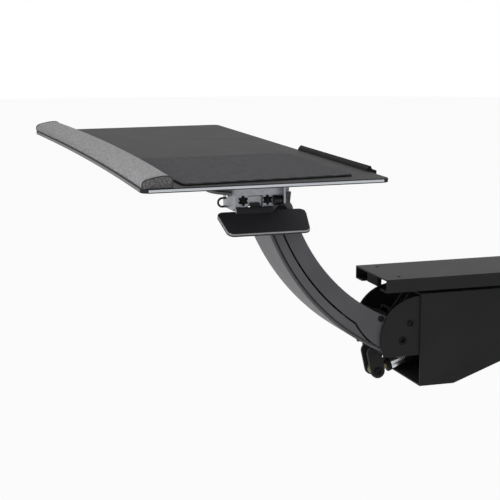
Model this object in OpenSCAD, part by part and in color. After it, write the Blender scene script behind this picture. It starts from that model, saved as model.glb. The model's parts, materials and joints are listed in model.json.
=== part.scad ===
// Articulating tray on a curved arm that slides and turns on a track.
// X is the user's right, Y the rear, Z up. The origin is the middle of the
// track's screw pattern, on the track's mounting face.
// Every length is in millimetres, every angle in degrees.

/* [Track] */
// Length of the track
track_len = 450; // [420:10:560]
// Width over the track's sides
track_w = 110; // [106:1:120]
// Height of the track
track_h = 18; // [17:1:22]
// Sheet thickness of the track
track_sheet = 2; // [1.5:0.5:2.5]
// Width of each inward lip, from the outer side
track_lip = 23; // [18:1:25]
// Screw spacing across the track
hole_dx = 76; // [60:1:80]
// Distance of the outer screws from the track's ends
hole_end = 25; // [20:1:30]
// Radius of the screw holes
hole_r = 2.75; // [2.25:0.25:3]

/* [Carriage] */
// Length of the carriage along the track
car_len = 110; // [90:1:110]
// Thickness of the carriage plate
car_t = 4; // [3:0.5:4]
// Radius of the carriage's swivel boss
boss_r = 24; // [20:1:26]
// Swivel axis behind the track's front end
swivel_back = 110; // [105:1:120]
// Radius of the swivel bolt's shank
swivel_r = 6; // [5:0.5:8]

/* [Hinge bracket] */
// Width over the cheeks
hinge_w = 98; // [96:1:104]
// Sheet thickness of the bracket
bracket_t = 3; // [2:0.5:3]
// Arm pivot ahead of the swivel axis
hinge_reach = 83; // [80:1:88]
// Arm pivot below the bracket's top plate
hinge_drop = 60; // [58:1:64]
// Radius of the cheeks' round front
cheek_r = 58; // [56:1:60]
// Cheek bottom below the arm pivot
cheek_low = 22; // [20:1:24]
// Radius of the arm pivot bolts
pivot_r = 6; // [5:0.5:7]

/* [Spring housing] */
// Sheet thickness of the housing
house_t = 2; // [1.5:0.5:3]
// Housing bottom below the arm pivot
house_low = 65.5; // [64:0.5:72]
// Housing front edge behind the arm pivot
house_front = 25; // [24:1:28]
// Length of the flat part of the bottom
house_flat = 51; // [40:1:60]
// Rise of the sloping bottom per millimetre
house_slope = 0.356; // [0.3:0.01:0.38]
// Housing rear face behind the arm pivot
house_back = 246; // [244:1:260]

/* [Arm] */
// Radius of the arm's curve through both pivots
arm_r = 292; // [286:1:298]
// Slope of the curve at the lower pivot
arm_foot = 21.5; // [20:0.5:23]
// Angle of the curve between the pivots
arm_span = 51.2; // [50:0.1:52]
// Gap between the arm and each cheek
arm_side = 2; // [1.5:0.5:3]
// Depth of the arm on the inner side of the curve, at the head
arm_in = 15.8; // [15:0.1:17]
// Depth of the arm on the inner side of the curve, at the foot
arm_in_foot = 23.5; // [22.5:0.1:24]
// Radius of the arm's inner edge
inner_r = 245.5; // [242:0.5:250]
// Depth of the arm on the outer side of the curve
arm_out = 25; // [24:0.5:28]
// Sheet thickness of the arm channel
arm_t = 3; // [2.5:0.5:4]
// Thickness of the cover's face
cover_t = 3; // [2.5:0.5:4]
// Width of the dark joint lines in the arm's side
groove = 2.5; // [1.5:0.5:3]

/* [Levelling link] */
// Link pivots behind the arm pivots
link_dy = 3; // [2:0.5:4]
// Link pivots above the arm pivots
link_dz = 14.5; // [14:0.5:15]
// Radius of the link pins
link_pin_r = 3; // [2.5:0.5:3.5]
// Height of the link bar
link_h = 8; // [6:0.5:9]

/* [Gas spring] */
// Outer radius of the spring tube
tube_r = 9; // [8:0.5:10]
// Radius of the spring rod
rod_r = 4; // [3.5:0.5:4.5]
// Length from the lower pin to the open end of the tube
tube_end = 150; // [148:1:152]
// Radius of the spring pins
spring_pin_r = 4; // [3:0.5:4]

/* [Head] */
// Middle of the turntable ahead of the head pivot
turn_ahead = 32.3; // [31:0.1:34]
// Underside of the lower disc above the head pivot
turn_rise = 23; // [22.5:0.5:25]
// Thickness of the lower disc
turn_t = 3.5; // [3:0.5:5]
// Tilt pin above the head pivot
tilt_rise = 49; // [48:0.5:51]
// Radius of the head pivot pins
head_pin_r = 5; // [4:0.5:5]
// Radius of the tilt pin
tilt_pin_r = 4; // [3:0.5:5]

/* [Release] */
// Gap between the arm and the release bracket's side plate
side_gap = 12; // [12:0.5:14]
// Sheet thickness of the release bracket
side_t = 2.5; // [2:0.5:2.5]
// Length of the paddle at its hinge, along the tray's depth
paddle_l = 121; // [112:1:124]
// Reach of the paddle from its hinge
paddle_u = 53; // [46:1:58]
// Taper of the paddle's front end
paddle_front_in = 3.4; // [0:0.1:6]
// Taper of the paddle's rear end
paddle_rear_in = 9.5; // [0:0.1:12]
// Radius of the paddle's corners
paddle_corner = 9; // [6:0.5:11]
// Thickness of the paddle
paddle_t = 4; // [3:0.5:4.5]
// Droop of the paddle at rest
paddle_deg = 24; // [20:1:26]

/* [Tray] */
// Width of the tray board
tray_w = 673; // [640:1:720]
// Depth of the tray board
tray_d = 282; // [270:1:300]
// Thickness of the tray board
tray_t = 5; // [4:0.5:6]
// Radius of the board's corners
tray_corner = 10; // [6:1:14]
// Depth of the hollow in the board's front edge
tray_sag = 7; // [4:0.5:9]
// Tray underside above the head pivot
tray_rise = 73; // [72:0.5:75]
// Front edge of the board ahead of the head pivot
tray_ahead = 255.3; // [250:0.1:258]

/* [Palm rest, pad and ledge] */
// Depth of the palm rest
palm_d = 33; // [30:1:45]
// Extra depth of the palm rest in its middle
palm_belly = 3.5; // [0:0.5:6]
// Height of the palm rest at its rear
palm_h = 12.5; // [11:0.5:20]
// Thickness of the pad
pad_t = 3; // [2:0.5:5]
// Width of the pad at its front
pad_w = 240; // [200:1:250]
// Depth of the pad
pad_d = 202; // [180:1:205]
// Length of the ledge
ledge_l = 233; // [180:1:240]
// Height of the ledge above the board
ledge_h = 6; // [5:0.5:10]
// Right end of the ledge inside the board's right edge
ledge_in = 65; // [40:0.5:70]

/* [Clearances] */
// Radial clearance of running pins
run = 0.05; // [0.02:0.01:0.08]
// Gap between parts that pass each other
gap = 0.3; // [0.3:0.05:0.5]

/* [Hidden] */
$fn = 48;
// Heights of the stack under the track
car_top = -8;
car_lo = car_top - car_t;
boss_lo = -track_h - 2;
plate_hi = boss_lo - 3;
plate_lo = plate_hi - bracket_t;
swivel_y = -track_len / 2 + swivel_back;
hole_dy = track_len - 2 * hole_end;
// Pivots of the arm, in (Y, Z)
A = [swivel_y - hinge_reach, plate_lo - hinge_drop];
aA = 270 - arm_foot;
aC = aA - arm_span;
O = A - arm_r * [cos(aA), sin(aA)];
C = O + arm_r * [cos(aC), sin(aC)];
B = A + [link_dy, link_dz];
D = C + [link_dy, link_dz];
OL = O + [link_dy, link_dz];
// Cheeks
cheek_in = hinge_w / 2 - bracket_t;
house_sx = hinge_w / 2 - 6;
house_sy = [swivel_y + 70, swivel_y + 140];
K = [A[0] + 26, plate_lo - cheek_r];
stop_p = A + [11, 23];
// Arm
arm_w = 2 * (cheek_in - arm_side);
wall_hi = arm_w / 2;
wall_lo = wall_hi - arm_t;
web_r = arm_r + 6.5;
skin_r = arm_r + arm_out;
skirt_r = web_r + groove;
web_in = 0.4;
foot_r = 24.5;
F = A + [13, 68];
flare_r = 88;
lug_a = [-3.2, 1.2];
lug_sa = [-2.5, 0.5];
lug_sx = [-28, 28];
clip_p = O + (arm_r - 15.3) * [cos(aA - 8.2), sin(aA - 8.2)];
// Centre of the arm's inner edge, which passes both pivots at their inner depths
pC = O + (arm_r - arm_in) * [cos(aC), sin(aC)];
pA = O + (arm_r - arm_in_foot) * [cos(aA), sin(aA)];
pU = (pC - pA) / norm(pC - pA);
I = (pA + pC) / 2 + sqrt(inner_r * inner_r - pow(norm(pC - pA) / 2, 2)) * [pU[1], -pU[0]];
// Gas spring
L = A + [-20, -50.5];
E = A + [213, 28];
spring_len = norm(E - L);
spring_deg = atan2(E[1] - L[1], E[0] - L[0]);
slot_pad = spring_pin_r + 0.5;
anchor_sy = [E[0] - 14, E[0] + 10];
// Head
side_x = wall_hi + side_gap;
turn_r = side_x - 1;
turn_y = C[0] - turn_ahead;
disc_lo = C[1] + turn_rise;
disc_hi = disc_lo + turn_t;
top_lo = disc_hi + gap;
top_t = 3;
T = [turn_y, C[1] + tilt_rise];
// Release
side_y0 = C[0] - 67;
side_y1 = C[0] - 3;
side_lo = disc_lo - 16;
hinge_x = side_x + side_t / 2;
hinge_z = side_lo - 3.5;
stud_z = disc_lo - 5;
stud_y = [side_y0 + 10.5, side_y0 + 43];
flange_lo = hinge_z + 0.5;
flange_x = [5, side_x - 6];
knuckle_l = 8;
knuckle_y = [side_y0 + 3, side_y1 - 17 - knuckle_l];
pin_cap = 2;
paddle_y = side_y0 - 26.4;
loop_p = [14, side_y0 - 4, disc_lo - 12.5];
boot_r = 6.2;
boot_p = [side_x + 5, disc_lo - 6];
boot_l = 10.8;
boot_y = side_y1 - 13.4;
// Tray
tray_lo = C[1] + tray_rise;
tray_hi = tray_lo + tray_t;
tray_y0 = C[0] - tray_ahead;
sag_r = (tray_w * tray_w / 4 + tray_sag * tray_sag) / (2 * tray_sag);
mount_t = 3;
mount_x = 50;
mount_y = [turn_y - 60, turn_y + 42];
mount_sx = mount_x - 10;
mount_sy = [mount_y[0] + 10, mount_y[1] - 10];
ear_x = 26;
pad_x1 = tray_w / 2 - 12;
pad_y0 = tray_y0 + palm_d + 15;
ledge_x1 = tray_w / 2 - ledge_in;
ledge_y = tray_y0 + tray_d;
ledge_sx = [ledge_x1 - 0.87 * ledge_l, ledge_x1 - 0.13 * ledge_l];

// Helpers

// A box given by its corners
module box(a, b) translate(a) cube(b - a);

// A cylinder along X through the point p of the (Y, Z) plane
module rod_x(p, r, x0, x1) translate([x0, p[0], p[1]]) rotate([0, 90, 0]) cylinder(r = r, h = x1 - x0);

// A cylinder along Y through the point p of the (X, Z) plane
module rod_y(p, r, y0, y1) translate([p[0], y1, p[1]]) rotate([90, 0, 0]) cylinder(r = r, h = y1 - y0);

// A cylinder along Z through the point p of the (X, Y) plane
module rod_z(p, r, z0, z1) translate([p[0], p[1], z0]) cylinder(r = r, h = z1 - z0);

// A round ended bar between two points of the (Y, Z) plane
module bar(p, q, r, x0, x1) {
  rod_x(p, r, x0, x1);
  rod_x(q, r, x0, x1);
  translate([x0, p[0], p[1]]) rotate([atan2(q[1] - p[1], q[0] - p[0]), 0, 0])
    translate([0, 0, -r]) cube([x1 - x0, norm(q - p), 2 * r]);
}

// A piece of a ring about an axis along X through the point o
module sector(o, r0, r1, x0, x1, a0, a1)
  translate([0, o[0], o[1]]) rotate(a = 120, v = [1, 1, 1]) rotate([0, 0, a0])
    rotate_extrude(angle = a1 - a0) translate([r0, x0]) square([r1 - r0, x1 - x0]);

// A side profile of (Y, Z) points, extruded along X
module slab(points, x0, x1) translate([x0, 0, 0]) rotate([90, 0, 90])
  linear_extrude(x1 - x0) polygon(points);

// Children placed on a radius of the arm's curve, their Z axis pointing outwards
module on_radius(a, r) translate([0, O[0], O[1]]) rotate([a - 90, 0, 0]) translate([0, 0, r]) children();

// Children placed with their Z axis along the gas spring, from the lower pin
module on_spring() translate([0, L[0], L[1]]) rotate([spring_deg - 90, 0, 0]) children();

// Children on both sides, the second one mirrored
module both() { children(); mirror([1, 0, 0]) children(); }

// A flat plate with round corners in the (X, Y) plane
module round_plate(x0, x1, y0, y1, r, t) linear_extrude(t) {
  translate([x0 + r, y0]) square([x1 - x0 - 2 * r, y1 - y0]);
  translate([x0, y0 + r]) square([x1 - x0, y1 - y0 - 2 * r]);
  for (x = [x0 + r, x1 - r], y = [y0 + r, y1 - r]) translate([x, y]) circle(r);
}

// A convex outline with round corners, from its corners in turn
module round_outline(p, r) {
  n = len(p);
  e = [for (i = [0:n - 1]) let (d = p[(i + 1) % n] - p[i]) [-d[1], d[0]] / norm(d)];
  c = [for (i = [0:n - 1]) let (a = e[(i + n - 1) % n], b = e[i]) p[i] + r * (a + b) / (1 + a * b)];
  polygon([for (i = [0:n - 1], k = [(i + n - 1) % n, i]) c[i] - r * e[k]]);
  for (q = c) translate(q) circle(r);
}

// Track

module track() color([0.16, 0.16, 0.17]) difference() {
  union() {
    box([-track_w / 2, -track_len / 2, -track_sheet], [track_w / 2, track_len / 2, 0]);
    both() {
      box([track_w / 2 - track_sheet, -track_len / 2, -track_h], [track_w / 2, track_len / 2, 0]);
      box([track_w / 2 - track_lip, -track_len / 2, -track_h],
        [track_w / 2, track_len / 2, -track_h + track_sheet]);
    }
  }
  for (x = [-1, 1], y = [-1, 0, 1])
    rod_z([x * hole_dx / 2, y * hole_dy / 2], hole_r, -track_sheet - 1, 1);
}

module track_stops() color([0.08, 0.08, 0.08]) for (s = [-1, 1]) {
  y = s * (track_len / 2 - 5);
  box([-18, y - 3, -track_h + track_sheet + gap], [18, y + 3, -track_sheet]);
}

// Carriage and swivel

module carriage_plate() color([0.62, 0.62, 0.64]) difference() {
  union() {
    box([-track_w / 2 + 9, swivel_y - car_len / 2, car_lo], [track_w / 2 - 9, swivel_y + car_len / 2, car_top]);
    rod_z([0, swivel_y], boss_r, boss_lo, car_lo + 1);
  }
  rod_z([0, swivel_y], swivel_r + run, boss_lo - 1, car_top + 1);
}

module carriage_glides() color([0.85, 0.85, 0.82]) both() for (y = [-1, 1]) {
  m = swivel_y + y * (car_len / 2 - 14);
  box([track_w / 2 - 9, m - 14, -track_h + track_sheet + gap],
    [track_w / 2 - track_sheet - gap, m + 14, -track_sheet - gap]);
}

module swivel_bolt() color([0.6, 0.6, 0.62]) {
  translate([0, swivel_y, car_top]) cylinder(r = swivel_r + 4, h = 5, $fn = 6);
  rod_z([0, swivel_y], swivel_r, plate_lo - 12, car_top + 1);
}

module swivel_nut() color([0.55, 0.55, 0.58]) difference() {
  union() {
    translate([0, swivel_y, plate_lo - 11]) cylinder(r = swivel_r + 5, h = 8, $fn = 6);
    rod_z([0, swivel_y], swivel_r + 8, plate_lo - 3.1, plate_lo - gap);
  }
  rod_z([0, swivel_y], swivel_r + run, plate_lo - 13, plate_lo + 1);
}

module thrust_washer() color([0.85, 0.85, 0.82]) difference() {
  rod_z([0, swivel_y], boss_r - 1, plate_hi, boss_lo - gap);
  rod_z([0, swivel_y], swivel_r + 0.4, plate_hi - 1, boss_lo + 1);
}

// Hinge bracket

module hinge_bracket() color([0.15, 0.15, 0.16]) difference() {
  union() {
    box([-hinge_w / 2, K[0], plate_lo], [hinge_w / 2, A[0] + house_back, plate_hi]);
    both() {
      intersection() {
        rod_x(K, cheek_r, cheek_in, hinge_w / 2);
        box([cheek_in - 1, K[0] - cheek_r - 1, A[1] - cheek_low], [hinge_w / 2 + 1, K[0] + 1, plate_lo + 1]);
      }
      slab([[K[0], plate_hi], [K[0], A[1] - cheek_low], [K[0] + 8, A[1] - cheek_low],
        [swivel_y + 55, plate_lo - 36], [swivel_y + 55, plate_hi]], cheek_in, hinge_w / 2);
      bar([K[0] + 6, plate_lo - 6.5], B, 6.5, 8, 11);
    }
  }
  rod_z([0, swivel_y], swivel_r + run, plate_lo - 1, plate_hi + 1);
  rod_x(A, pivot_r + run, cheek_in - 1, hinge_w / 2 + 1);
  rod_x(A, pivot_r + run, -hinge_w / 2 - 1, -cheek_in + 1);
  rod_x(B, link_pin_r + run, -12, 12);
  both() rod_x(stop_p, 2.5 + run, cheek_in - 1, hinge_w / 2 + 1);
  both() for (y = house_sy) rod_z([house_sx, y], 2 + run, plate_lo - 1, plate_hi + 1);
  for (y = anchor_sy) rod_z([0, y], 2 + run, plate_lo - 1, plate_hi + 1);
}

// The open front, the sloping bottom and the rear wall of the spring's housing
house_b = A[1] - house_low;
house_yf = A[0] + house_front;
house_yb = A[0] + house_back;
house_bb = house_b + house_slope * (house_yb - house_yf - house_flat);
module spring_housing() color([0.14, 0.14, 0.15]) {
  hx = hinge_w / 2 + gap;
  both() slab([[house_yf, plate_hi], [house_yf, house_b], [house_yf + house_flat, house_b],
    [house_yb, house_bb], [house_yb, plate_hi]], hx, hx + house_t);
  slab([[house_yf, house_b], [house_yf + house_flat, house_b], [house_yb, house_bb],
    [house_yb, house_bb + house_t * 1.06], [house_yf + house_flat, house_b + house_t],
    [house_yf, house_b + house_t]], -hx - house_t, hx + house_t);
  box([-hx - house_t, house_yb - house_t, house_bb], [hx + house_t, house_yb, plate_lo - house_t - gap]);
  both() difference() {
    box([hinge_w / 2 - 12, swivel_y + 57, plate_lo - house_t], [hx + 0.5, house_yb - house_t, plate_lo]);
    for (y = house_sy) rod_z([house_sx, y], 2 + run, plate_lo - house_t - 1, plate_lo + 1);
  }
}

module housing_screws() color([0.5, 0.5, 0.52]) both() for (y = house_sy) {
  rod_z([house_sx, y], 2, plate_lo - house_t - 1, plate_hi);
  rod_z([house_sx, y], 4, plate_lo - house_t - 2.5, plate_lo - house_t);
}

module arm_pivot_bolts() color([0.3, 0.3, 0.31]) both() difference() {
  union() {
    rod_x(A, pivot_r, wall_lo - 6, hinge_w / 2 - 1);
    rod_x(A, pivot_r + 3, wall_lo - 8, wall_lo - 5);
  }
  translate([hinge_w / 2 - 4, A[0], A[1]]) rotate([0, 90, 0]) cylinder(r = 3.4, h = 5, $fn = 6);
}

module arm_stop_screws() color([0.2, 0.2, 0.2]) both() {
  rod_x(stop_p, 2.5, wall_lo + 0.5, hinge_w / 2 + 1);
  rod_x(stop_p, 4.2, hinge_w / 2, hinge_w / 2 + 2);
}

module lower_link_pin() color([0.6, 0.6, 0.62]) {
  rod_x(B, link_pin_r, -12.5, 12.5);
  both() rod_x(B, link_pin_r + 1.5, 11, 12.5);
}

// The anchor plates hold the spring's rear pin in a slot
module spring_anchor() color([0.3, 0.3, 0.31]) difference() {
  union() {
    both() box([10, E[0] - 20, E[1] - 16], [13, E[0] + 16, plate_lo - 2]);
    box([-13, E[0] - 20, plate_lo - 3], [13, E[0] + 16, plate_lo]);
  }
  both() box([9, E[0] - 6.2 - slot_pad, E[1] - 6.2 - slot_pad],
    [14, E[0] + 0.3 + slot_pad, E[1] + 6.2 + slot_pad]);
  for (y = anchor_sy) rod_z([0, y], 2 + run, plate_lo - 4, plate_lo + 1);
}

module anchor_screws() color([0.5, 0.5, 0.52]) for (y = anchor_sy) {
  rod_z([0, y], 2, plate_lo - 4, plate_hi);
  rod_z([0, y], 3.8, plate_lo - 5, plate_lo - 3);
}

// Arm

// A piece of a flat ring about the point o of the (Y, Z) plane
module band(o, r0, r1, a0, a1) {
  am = (a0 + a1) / 2;
  translate(o) intersection() {
    difference() { circle(r1); circle(r0); }
    polygon([[0, 0], for (a = [a0, am, a1]) 2 * r1 * [cos(a), sin(a)]]);
  }
}

// Outline of the channel's side walls, with the slot of the stop screw
module arm_wall() difference() {
  union() {
    difference() {
      band(O, arm_r - arm_in_foot - 20, web_r, aC, aA);
      translate(I) circle(inner_r);
    }
    intersection() {
      translate(C) circle(arm_in + 0.5);
      translate(O) circle(skirt_r - gap);
    }
    translate(A) circle(foot_r);
    band(A, pivot_r, 32, -20, 78);
    intersection() {
      band(O, arm_r - 5, skin_r, aA - 18, aA - 1);
      translate(F) circle(flare_r);
    }
    band(O, arm_r, skin_r, aA + lug_a[0] - 0.6, aA + lug_a[1] + 0.6);
  }
  translate(A) circle(pivot_r + 2.5);
  translate(C) circle(head_pin_r + 2.5);
  band(A, norm(stop_p - A) - 3, norm(stop_p - A) + 3, -16, 74);
  translate(clip_p) circle(2 + run);
}

module arm_channel() color([0.36, 0.36, 0.37]) difference() {
  union() {
    both() translate([wall_lo, 0, 0]) rotate([90, 0, 90]) linear_extrude(arm_t) arm_wall();
    sector(O, web_r - arm_t, web_r - web_in, -wall_hi + 1, wall_hi - 1, aC + 6, aA - 11);
    sector(O, skin_r - arm_t, skin_r - web_in, -wall_hi + 1, wall_hi - 1, aA + lug_a[0], aA + lug_a[1]);
  }
  for (a = [8, 22, 35]) on_radius(aC + a, web_r - arm_t - 1) cylinder(r = 2 + run, h = arm_t + 2);
  for (x = lug_sx, a = lug_sa) on_radius(aA + a, skin_r - arm_t - 1)
    translate([x, 0, 0]) cylinder(r = 2 + run, h = arm_t + 2);
}

module arm_cover() color([0.4, 0.4, 0.41]) difference() {
  union() {
    sector(O, skin_r - cover_t, skin_r, -wall_hi, wall_hi, aC + 1.5, aA + lug_a[0] - 1.1);
    both() {
      sector(O, skirt_r, skin_r - cover_t - groove, wall_hi - 3.5, wall_hi, aC + 1.5, aA + lug_a[0] - 1.1);
      sector(O, skin_r - cover_t - groove - 0.5, skin_r - cover_t + 0.5, wall_hi - 5.5, wall_hi - 3,
        aC + 1.5, aA + lug_a[0] - 1.1);
    }
    for (a = [8, 22, 35]) on_radius(aC + a, web_r + gap) cylinder(r = 5, h = arm_out - 6.5 - gap - 1);
  }
  rod_x(F, flare_r + groove, -arm_w, arm_w);
  for (a = [8, 22, 35]) on_radius(aC + a, web_r - 1) cylinder(r = 2 + run, h = 11);
}

module cover_screws() color([0.5, 0.5, 0.52]) for (a = [8, 22, 35]) {
  on_radius(aC + a, web_r - arm_t - 2.5) cylinder(r = 3.8, h = 2.2);
  on_radius(aC + a, web_r - arm_t - 1) cylinder(r = 2, h = 12);
}

// A flanged bush along X: inner and outer radius, flange radius, wall faces, flange face
module bush(p, r, ro, rf, x0, x1, xf) difference() {
  union() { rod_x(p, ro, min(x0, xf), max(x1, xf)); rod_x(p, rf, min(x1, xf), max(x1, xf)); }
  rod_x(p, r, x0 - 9, x1 + 9);
}

module arm_pivot_bushes() color([0.8, 0.8, 0.76]) both()
  bush(A, pivot_r + run, pivot_r + 2.5 - run, pivot_r + 5, wall_lo, wall_hi, cheek_in - gap);

module head_pivot_bushes() color([0.8, 0.8, 0.76]) both() difference() {
  union() {
    rod_x(C, head_pin_r + 2.5 - run, wall_lo - 2.5, wall_hi);
    rod_x(C, head_pin_r + 5, wall_lo - 2.5, wall_lo);
  }
  rod_x(C, head_pin_r + run, wall_lo - 9, wall_hi + 9);
}

module spring_lug() color([0.2, 0.2, 0.21]) {
  difference() {
    sector(O, skin_r - web_in, skin_r + 3, -wall_lo + 2, wall_lo - 2, aA + lug_a[0], aA + lug_a[1]);
    for (x = lug_sx, a = lug_sa) on_radius(aA + a, skin_r - 1)
      translate([x, 0, 0]) cylinder(r = 2 + run, h = 5);
  }
  both() difference() {
    bar(O + (skin_r + 8) * [cos(aA - 2.6), sin(aA - 2.6)], L, 10, 9, 13);
    rod_x(O, skin_r + 1, 8, 14, $fn = 200);
    rod_x(L, spring_pin_r + run, 8, 14);
  }
}

module lug_screws() color([0.5, 0.5, 0.52]) for (x = lug_sx, a = lug_sa)
  on_radius(aA + a, skin_r - arm_t) translate([x, 0, 0]) {
    cylinder(r = 2, h = arm_t + 4);
    translate([0, 0, arm_t + 3.2]) cylinder(r = 3.6, h = 2.4);
  }

module lug_pin() color([0.6, 0.6, 0.62]) {
  rod_x(L, spring_pin_r, -15, 15);
  both() rod_x(L, spring_pin_r + 1.5, 13, 15);
}

module release_cable() color([0.07, 0.07, 0.07])
  translate([0, O[0], O[1]]) rotate(a = 120, v = [1, 1, 1]) rotate([0, 0, aC + 7])
    rotate_extrude(angle = arm_span - 12) translate([arm_r - 6, 27]) circle(2.5);

module cable_clips() color([0.1, 0.1, 0.1]) difference() {
  for (a = [16, 38]) sector(O, arm_r - 9, web_r - arm_t - 2 * run, 22, 32, aC + a, aC + a + 1.6);
  translate([0, O[0], O[1]]) rotate(a = 120, v = [1, 1, 1])
    rotate_extrude() translate([arm_r - 6, 27]) circle(2.5 + run);
}

module clip_bolts() color([0.1, 0.1, 0.1]) both() {
  rod_x(clip_p, 2, wall_lo - 5, wall_hi + 1);
  rod_x(clip_p, 4.2, wall_hi, wall_hi + 1.7);
  rod_x(clip_p, 3.6, wall_lo - 3.4, wall_lo);
}

// Levelling link

module levelling_link() color([0.3, 0.3, 0.31]) difference() {
  union() {
    sector(OL, arm_r - link_h / 2, arm_r + link_h / 2, -3, 3, aC, aA);
    rod_x(B, 6.5, -5, 5);
    rod_x(D, 6.5, -5, 5);
  }
  rod_x(B, link_pin_r + run, -9, 9);
  rod_x(D, link_pin_r + run, -9, 9);
}

// Gas spring

module spring_eye() color([0.72, 0.6, 0.28]) difference() {
  union() {
    rod_x(L, 8, -7.5, 7.5);
    on_spring() cylinder(r = 5.5, h = 20);
  }
  rod_x(L, spring_pin_r + run, -9, 9);
}

module spring_collar() color([0.06, 0.06, 0.06]) on_spring() difference() {
  translate([0, 0, 17]) cylinder(r = tube_r + 1.5, h = 5.5);
  translate([0, 0, 16]) cylinder(r = 5.5 + run, h = 5);
  translate([0, 0, 20]) cylinder(r = tube_r + run, h = 9);
}

module spring_tube() color([0.75, 0.75, 0.77]) on_spring() difference() {
  translate([0, 0, 20]) cylinder(r = tube_r, h = tube_end - 20);
  translate([0, 0, 25]) cylinder(r = tube_r - 1.75, h = tube_end);
}

module spring_gland() color([0.06, 0.06, 0.06]) on_spring() difference() {
  translate([0, 0, tube_end - 10]) cylinder(r = tube_r - 1.75 - run, h = 10);
  translate([0, 0, tube_end - 11]) cylinder(r = rod_r + run, h = 12);
}

module spring_rod() color([0.8, 0.8, 0.82]) on_spring() {
  translate([0, 0, tube_end - 22]) cylinder(r = rod_r, h = spring_len - tube_end + 6);
  translate([0, 0, tube_end - 22]) cylinder(r = tube_r - 1.75 - run, h = 8);
}

module rod_end() color([0.72, 0.6, 0.28]) difference() {
  union() {
    rod_x(E, 8, -8, 8);
    on_spring() translate([0, 0, spring_len - 21]) cylinder(r = 6, h = 20);
  }
  rod_x(E, spring_pin_r + run, -9, 9);
  on_spring() translate([0, 0, spring_len - 22]) cylinder(r = rod_r + run, h = 6.1);
}

module anchor_pin() color([0.6, 0.6, 0.62]) {
  rod_x(E, spring_pin_r, -16, 16);
  both() rod_x(E, spring_pin_r + 4, 14, 16);
}

// Head

module head_bracket() color([0.33, 0.33, 0.34]) difference() {
  union() {
    rod_z([0, turn_y], turn_r, disc_lo, disc_hi);
    both() {
      slab([[C[0] - 18, disc_lo + 1], [C[0] - 11, C[1]], [C[0] + 13, C[1]], [C[0] + 15.5, disc_lo + 1]],
        wall_lo - 8, wall_lo - 3);
      rod_x(C, 13.5, wall_lo - 8, wall_lo - 3);
      slab([[D[0] - 9, disc_lo + 1], [D[0] - 6, D[1]], [D[0] + 6, D[1]], [D[0] + 9, disc_lo + 1]], 8, 11);
      rod_x(D, 6.5, 8, 11);
    }
  }
  rod_z([0, turn_y], 8 + run, disc_lo - 1, disc_hi + 1);
  both() rod_x(C, head_pin_r + run, wall_lo - 9, wall_lo - 2);
  rod_x(D, link_pin_r + run, -12, 12);
  for (x = [22, 34]) rod_z([x, side_y0 + 12], 2 + run, disc_lo - 1, disc_hi + 1);
}

module head_pivot_pins() color([0.2, 0.2, 0.2]) both() {
  rod_x(C, head_pin_r, wall_lo - 10, wall_hi + 1);
  rod_x(C, head_pin_r + 3, wall_hi + gap, wall_hi + 1.7);
  rod_x(C, head_pin_r + 2, wall_lo - 10, wall_lo - 8);
}

module upper_link_pin() color([0.6, 0.6, 0.62]) {
  rod_x(D, link_pin_r, -12.5, 12.5);
  both() rod_x(D, link_pin_r + 1.5, 11, 12.5);
}

module turntable_rivet() color([0.6, 0.6, 0.62]) {
  rod_z([0, turn_y], 8, disc_lo - 1, top_lo + top_t + 1);
  rod_z([0, turn_y], 13, disc_lo - 3, disc_lo);
  rod_z([0, turn_y], 12, top_lo + top_t + gap, top_lo + top_t + 2.5);
}

// Release bracket, paddle and what they work

module release_bracket() color([0.6, 0.6, 0.62]) difference() {
  union() {
    difference() {
      box([side_x, side_y0, side_lo], [side_x + side_t, side_y1, disc_hi + 18]);
      box([side_x - 1, boot_y - 0.5, side_lo - 1], [side_x + side_t + 1, side_y1 + 1, disc_lo + 0.8]);
    }
    box([flange_x[0], side_y0, side_lo], [side_x + side_t, side_y0 + side_t, disc_lo]);
    box([flange_x[0], side_y0, flange_lo], [flange_x[1], side_y0 + side_t, side_lo + 1]);
    box([side_x - 12, side_y0, disc_lo - 1], [side_x + side_t, side_y0 + side_t, disc_hi + 18]);
    box([17, side_y0, disc_lo - side_t], [side_x - 12, side_y0 + 26, disc_lo]);
    box([side_x, side_y1 - side_t, boot_p[1] - 3], [side_x + side_t + 11, side_y1, disc_hi + 18]);
    for (y = knuckle_y) rod_y([hinge_x, hinge_z], 4.5, y, y + knuckle_l);
  }
  box([side_x - 1, side_y0 + 17, side_lo - 1], [side_x + side_t + 1, side_y0 + 37, disc_lo + 1]);
  for (y = stud_y) rod_x([y, stud_z], 2.5 + run, side_x - 1, side_x + side_t + 1);
  rod_y([hinge_x, hinge_z], 2 + run, side_y0 - 1, side_y1 + 1);
  for (x = [22, 34]) rod_z([x, side_y0 + 12], 2 + run, disc_lo - side_t - 1, disc_lo + 1);
  rod_y([28, disc_lo - 3.8], 2 + run, side_y0 - 1, side_y0 + side_t + 1);
  rod_y(boot_p, boot_r + run, side_y1 - side_t - 1, side_y1 + 1);
}

module bracket_screws() color([0.8, 0.8, 0.82]) {
  for (x = [22, 34]) {
    rod_z([x, side_y0 + 12], 2, disc_lo - side_t - 1, disc_hi);
    rod_z([x, side_y0 + 12], 3.8, disc_lo - side_t - 2.2, disc_lo - side_t);
  }
  rod_y([28, disc_lo - 3.8], 2, side_y0 - 1, side_y0 + side_t + 0.9);
  rod_y([28, disc_lo - 3.8], 3.6, side_y0 - 1.8, side_y0);
}

module slide_studs() color([0.6, 0.6, 0.62]) for (y = stud_y) {
  rod_x([y, stud_z], 2.5, wall_hi + 2.2, side_x + side_t + 2.6);
  rod_x([y, stud_z], 4, wall_hi + 2.2, wall_hi + 3.4);
}

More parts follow.
